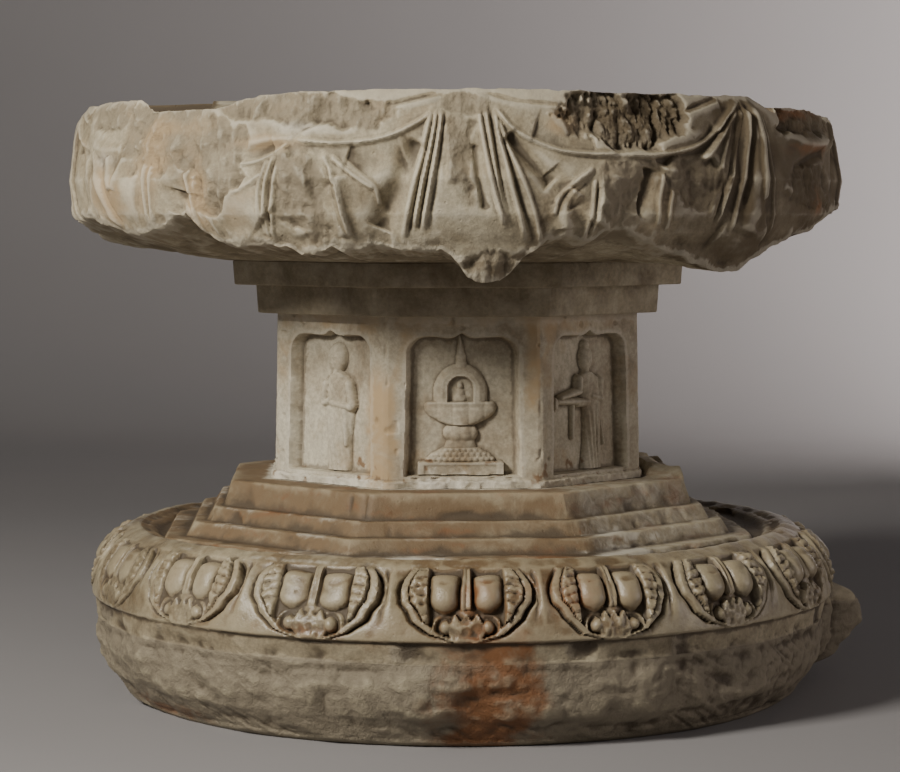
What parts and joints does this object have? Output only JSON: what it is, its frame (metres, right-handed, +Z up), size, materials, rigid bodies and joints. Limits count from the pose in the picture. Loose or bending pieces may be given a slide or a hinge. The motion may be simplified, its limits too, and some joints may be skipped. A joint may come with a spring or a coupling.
{
  "type": "carved stone lotus pedestal",
  "caption": "Worn stone pedestal: round lotus-petal base with an octagonal stepped plinth, octagonal shaft with figures in niches, round seat slab carved with drapery.",
  "frame": {"origin": "centre of the flat underside, on the floor", "axes": "+Z up through the middle of the stack, -Y towards the front niche"},
  "size_m": [0.9079, 0.876, 0.6521],
  "materials": {
    "base_stone": "worn, with polished high points and rust-coloured stains",
    "shaft_stone": "smooth matt, pale grey, with a white mortar bed at its foot",
    "slab_stone": "carved matt, with granular broken faces"
  },
  "bodies": {
    "root": {"lotus_base": "base_stone", "niche_shaft": "shaft_stone", "draped_slab": "slab_stone"}
  },
  "joints": []
}
